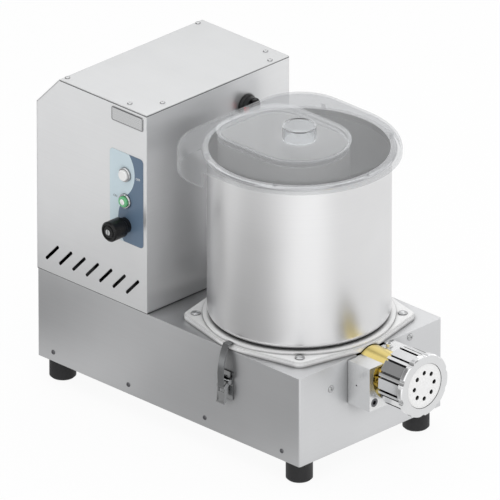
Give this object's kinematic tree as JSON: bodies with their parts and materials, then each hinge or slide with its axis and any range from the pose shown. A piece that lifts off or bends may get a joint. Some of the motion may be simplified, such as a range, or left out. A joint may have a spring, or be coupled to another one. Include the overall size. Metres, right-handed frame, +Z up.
{
  "type": "electric pasta maker",
  "caption": "Tabletop electric pasta extruder with an upright mixing pot under a clear lid, a control column behind, side latches, and a brass barrel ending in a ring nut and die.",
  "frame": {"origin": "on the table, under the middle of the base: the plane of the feet's undersides", "axes": "+X to the machine's right, +Y to the back where the column stands, +Z up; the die faces -Y"},
  "size_m": [0.3496, 0.6703, 0.496],
  "materials": {
    "satin_steel": "satin",
    "polished_steel": "polished",
    "rubber": "matte",
    "black_plastic": "satin",
    "white_plastic": "gloss",
    "green_plastic": "gloss",
    "red_plastic": "gloss",
    "label_light": "satin",
    "label_dark": "satin",
    "bare_plate": "satin",
    "chrome": "polished",
    "cast_aluminium": "cast",
    "machined_aluminium": "machined",
    "dark_steel": "oiled",
    "brass": "turned",
    "die_white": "satin",
    "motor_paint": "semi-gloss",
    "clear": "clear"
  },
  "bodies": {
    "machine": {"base_housing": "satin_steel", "bottom_plate": "satin_steel", "foot_front_left": "rubber", "foot_front_right": "rubber", "foot_rear_left": "rubber", "foot_rear_right": "rubber", "column_housing": "satin_steel", "column_roof": "satin_steel", "rear_panel": "satin_steel", "cable_gland": "black_plastic", "label_light": "label_light", "label_dark": "label_dark", "nameplate": "bare_plate", "off_bezel": "chrome", "on_bezel": "chrome", "switch_box": "black_plastic", "selector_collar": "black_plastic", "pot_flange": "polished_steel", "flange_screws": "chrome", "pot": "satin_steel", "drive_gearbox": "cast_aluminium", "feed_throat": "satin_steel", "front_block": "machined_aluminium", "block_bolts": "dark_steel", "barrel": "brass", "barrel_bolts": "brass", "barrel_clamp": "machined_aluminium", "bearing_block": "cast_aluminium", "worm_gearbox": "cast_aluminium", "gearbox_stand": "satin_steel", "motor": "motor_paint", "fan_cover": "black_plastic", "capacitor": "white_plastic", "contactor": "white_plastic", "latch_plate_left": "chrome", "latch_plate_right": "chrome"},
    "lid": {"lid": "clear", "chute": "satin_steel"},
    "hatch": {"hatch": "clear", "hatch_knob": "clear"},
    "off_button": {"off_button": "white_plastic"},
    "on_button": {"on_button": "green_plastic"},
    "knob": {"knob": "black_plastic", "knob_insert": "chrome"},
    "selector": {"selector_cap": "black_plastic", "selector_mark": "red_plastic"},
    "mixer": {"mixer": "polished_steel"},
    "auger": {"auger": "polished_steel"},
    "rotor": {"motor_rotor": "dark_steel"},
    "die": {"die": "die_white"},
    "ring_nut": {"ring_nut": "machined_aluminium"},
    "lever_left": {"latch_lever_left": "chrome"},
    "claw_left": {"latch_claw_left": "chrome"},
    "lever_right": {"latch_lever_right": "chrome"},
    "claw_right": {"latch_claw_right": "chrome"}
  },
  "joints": [
    {"name": "lid_lift", "type": "slide", "parent": "machine", "child": "lid", "axis": [0, 0, 1], "range_m": [0, 0.15]},
    {"name": "hatch_lift", "type": "slide", "parent": "lid", "child": "hatch", "axis": [0, 0, 1], "range_m": [0, 0.06]},
    {"name": "off_press", "type": "slide", "parent": "machine", "child": "off_button", "axis": [1, 0, 0], "range_m": [0, 0.0025], "stiffness_N_per_m": 600},
    {"name": "on_press", "type": "slide", "parent": "machine", "child": "on_button", "axis": [1, 0, 0], "range_m": [0, 0.0025], "stiffness_N_per_m": 600},
    {"name": "knob_turn", "type": "hinge", "parent": "machine", "child": "knob", "pos_m": [-0.1475, 0.086, 0.3065], "axis": [-1, 0, 0], "range_deg": [-60, 60]},
    {"name": "selector_turn", "type": "hinge", "parent": "machine", "child": "selector", "pos_m": [0.059, 0.043, 0.446], "axis": [0, -1, 0], "range_deg": [-45, 45]},
    {"name": "rotor_spin", "type": "hinge", "parent": "machine", "child": "rotor", "pos_m": [0.05, 0.125, 0.3], "axis": [0, 0, 1], "continuous": true},
    {"name": "auger_spin", "type": "hinge", "parent": "machine", "child": "auger", "pos_m": [0, -0.2, 0.153], "axis": [0, -1, 0], "continuous": true},
    {"name": "mixer_spin", "type": "hinge", "parent": "machine", "child": "mixer", "pos_m": [0, -0.1243, 0.2], "axis": [0, 0, 1], "continuous": true},
    {"name": "die_withdraw", "type": "slide", "parent": "machine", "child": "die", "axis": [0, -1, 0], "range_m": [0, 0.02]},
    {"name": "nut_turn", "type": "hinge", "parent": "die", "child": "ring_nut", "pos_m": [0, -0.35, 0.153], "axis": [0, -1, 0], "range_deg": [0, 1800]},
    {"name": "lever_left_pull", "type": "hinge", "parent": "machine", "child": "lever_left", "pos_m": [-0.1535, -0.1243, 0.128], "axis": [0, 1, 0], "range_deg": [0, 80]},
    {"name": "claw_left_swing", "type": "hinge", "parent": "lever_left", "child": "claw_left", "pos_m": [-0.1595, -0.1243, 0.12], "axis": [0, -1, 0], "range_deg": [0, 100]},
    {"name": "lever_right_pull", "type": "hinge", "parent": "machine", "child": "lever_right", "pos_m": [0.1535, -0.1243, 0.128], "axis": [0, -1, 0], "range_deg": [0, 80]},
    {"name": "claw_right_swing", "type": "hinge", "parent": "lever_right", "child": "claw_right", "pos_m": [0.1595, -0.1243, 0.12], "axis": [0, 1, 0], "range_deg": [0, 100]}
  ],
  "couplings": [
    {"joint": "auger_spin", "follows": "rotor_spin", "ratio": 0.05},
    {"joint": "mixer_spin", "follows": "rotor_spin", "ratio": -0.0375},
    {"joint": "nut_turn", "follows": "die_withdraw", "rad_per_m": 1570.8},
    {"joint": "claw_left_swing", "follows": "lever_left_pull", "ratio": 1.25},
    {"joint": "claw_right_swing", "follows": "lever_right_pull", "ratio": 1.25}
  ]
}
